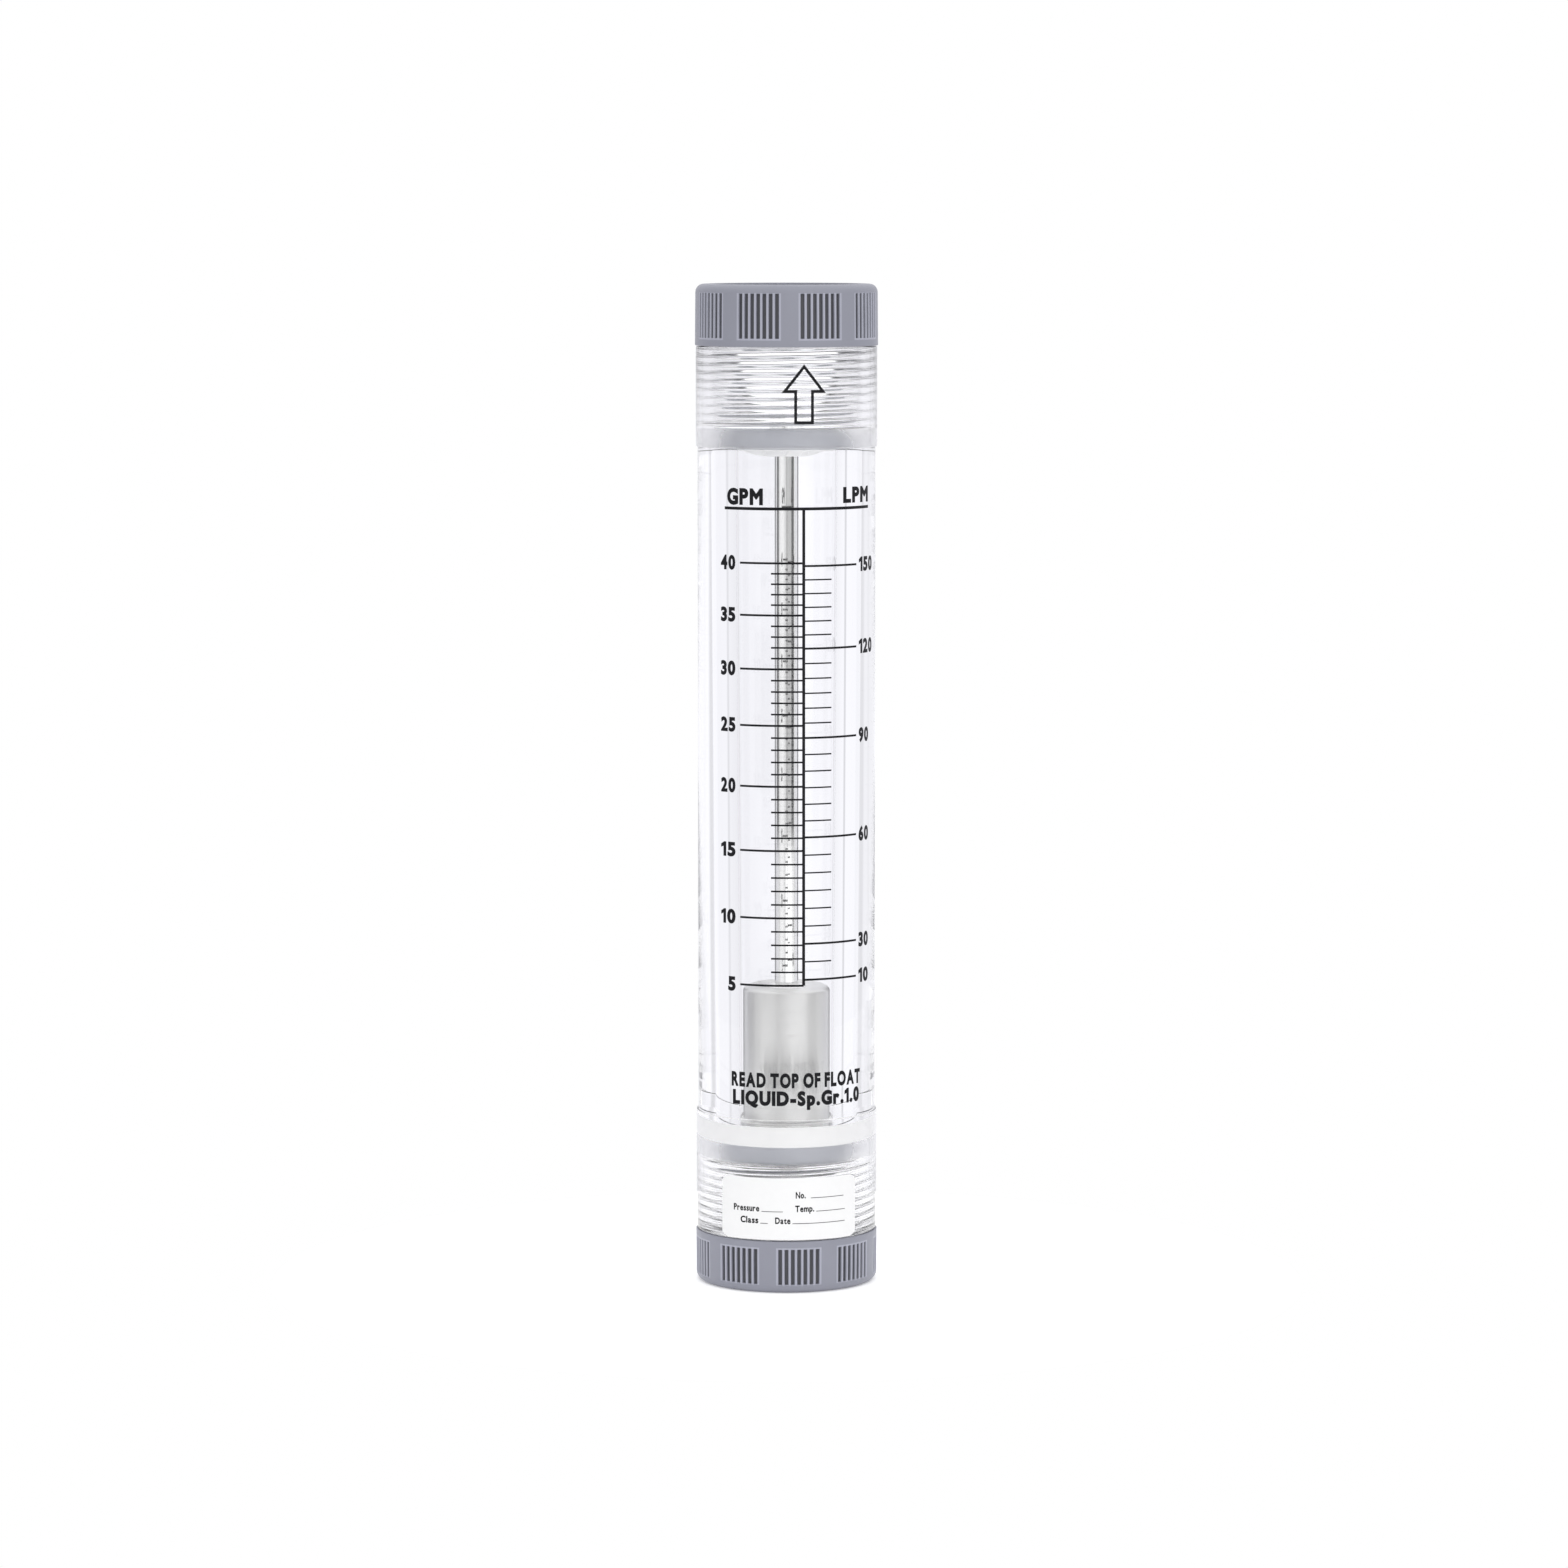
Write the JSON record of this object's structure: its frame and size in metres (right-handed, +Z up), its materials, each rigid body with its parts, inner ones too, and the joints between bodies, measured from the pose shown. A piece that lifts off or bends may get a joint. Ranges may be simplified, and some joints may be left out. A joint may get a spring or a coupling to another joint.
{
  "type": "variable area flow meter",
  "caption": "Clear in-line flow meter: tapered acrylic tube with a pipe thread in each end, knurled end caps, and a steel float that rises on a central rod.",
  "frame": {"origin": "centre of the lower cap's flat face, on the flow axis", "axes": "+Z up along the flow, -Y out of the printed scale, +X to the right of someone reading it"},
  "size_m": [0.0528, 0.0528, 0.29],
  "materials": {
    "clear_acrylic": "clear, turned and polished",
    "grey_abs": "moulded, satin, dark blue-grey",
    "black_rubber": "smooth moulded rubber",
    "white_nylon": "turned white nylon",
    "polished_steel": "ground and polished stainless steel",
    "turned_steel": "fine turned stainless steel",
    "label_film": "white film, blank"
  },
  "bodies": {
    "housing": {"metering_tube": "clear_acrylic", "lower_cap": "grey_abs", "upper_cap": "grey_abs", "lower_cap_ring": "black_rubber", "upper_cap_ring": "black_rubber", "lower_port_gasket": "black_rubber", "upper_port_gasket": "black_rubber", "lower_guide": "grey_abs", "upper_guide": "grey_abs", "lower_stop": "white_nylon", "upper_stop": "white_nylon", "guide_rod": "polished_steel", "lower_rod_washer": "polished_steel", "upper_rod_washer": "polished_steel", "lower_rod_nut": "polished_steel", "upper_rod_nut": "polished_steel", "data_label": "label_film"},
    "float_bushes": {"lower_float_bush": "white_nylon", "upper_float_bush": "white_nylon"},
    "float": {"float": "turned_steel"}
  },
  "joints": [
    {"name": "float_rise", "type": "slide", "parent": "housing", "child": "float_bushes", "axis": [0, 0, 1], "range_m": [0, 0.1551]},
    {"name": "float_spin", "type": "hinge", "parent": "float_bushes", "child": "float", "pos_m": [0, 0, 0.06685], "axis": [0, 0, 1], "continuous": true}
  ]
}
